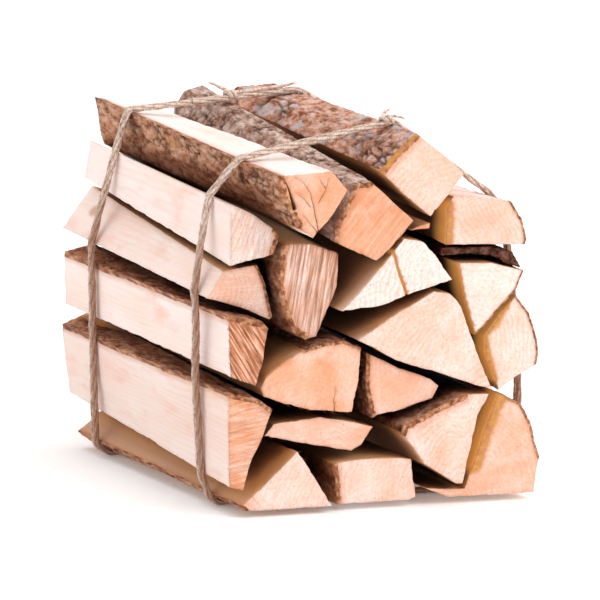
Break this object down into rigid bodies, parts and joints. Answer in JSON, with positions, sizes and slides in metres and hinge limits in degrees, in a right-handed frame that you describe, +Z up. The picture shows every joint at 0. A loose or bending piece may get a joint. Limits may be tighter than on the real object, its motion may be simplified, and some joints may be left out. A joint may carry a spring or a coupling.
{
  "type": "split firewood bundle",
  "caption": "Bundle of short split birch logs, some with bark, stacked with their sawn ends together and tied with jute twine near both ends.",
  "frame": {"origin": "centre of the bounding box's bottom, on the surface that the bundle rests on", "axes": "+Y along the splits from the near sawn ends to the far ones, +X to the right as seen from the near ends, +Z up"},
  "size_m": [0.2358, 0.3456, 0.2563],
  "materials": {
    "birch_wood": "raw split and sawn wood",
    "birch_bark": "rough brown bark",
    "jute_twine": "rough twisted jute"
  },
  "bodies": {
    "root": {"left_split_1": "birch_wood", "left_split_2": "birch_wood", "left_split_3": "birch_wood", "left_split_4": "birch_wood", "top_left_split": "birch_wood", "top_middle_split": "birch_wood", "top_right_split": "birch_wood", "wedge_sliver": "birch_wood", "right_split_1": "birch_wood", "bark_slab": "birch_bark", "right_split_2": "birch_wood", "right_split_3": "birch_wood", "upper_centre_split": "birch_wood", "upright_split": "birch_wood", "centre_split": "birch_wood", "lower_left_split": "birch_wood", "lower_middle_split": "birch_wood", "flat_split": "birch_wood", "bottom_split_1": "birch_wood", "bottom_split_2": "birch_wood", "bottom_split_3": "birch_wood", "bottom_split_4": "birch_wood", "front_twine": "jute_twine", "rear_twine": "jute_twine"}
  },
  "joints": []
}
